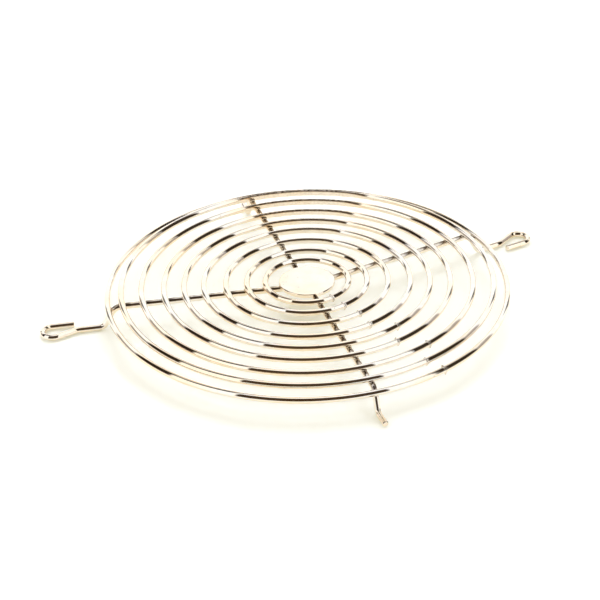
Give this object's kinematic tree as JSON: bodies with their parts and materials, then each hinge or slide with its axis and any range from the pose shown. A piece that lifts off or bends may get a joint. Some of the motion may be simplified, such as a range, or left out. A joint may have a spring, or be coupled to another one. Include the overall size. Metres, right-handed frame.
{
  "type": "wire fan guard",
  "caption": "Round finger guard of plated wire for a cooling fan: concentric rings and a centre disc welded on stepped spokes that end in open screw eyes and plain feet.",
  "frame": {"origin": "on the guard's axis, in the plane that the eyes and feet lie on", "axes": "+Z out of the guard, away from the fan; +X towards the right eye; +Y towards the back foot"},
  "size_m": [0.1543, 0.1294, 0.0099],
  "materials": {
    "wire_plating": "bright nickel-chrome plate",
    "disc_plating": "bright nickel-chrome plate"
  },
  "bodies": {
    "root": {"ring_1": "wire_plating", "ring_2": "wire_plating", "ring_3": "wire_plating", "ring_4": "wire_plating", "ring_5": "wire_plating", "ring_6": "wire_plating", "ring_7": "wire_plating", "ring_8": "wire_plating", "ring_9": "wire_plating", "centre_disc": "disc_plating", "right_eye_spoke": "wire_plating", "left_eye_spoke": "wire_plating", "front_leg_spoke": "wire_plating", "back_leg_spoke": "wire_plating"}
  },
  "joints": []
}
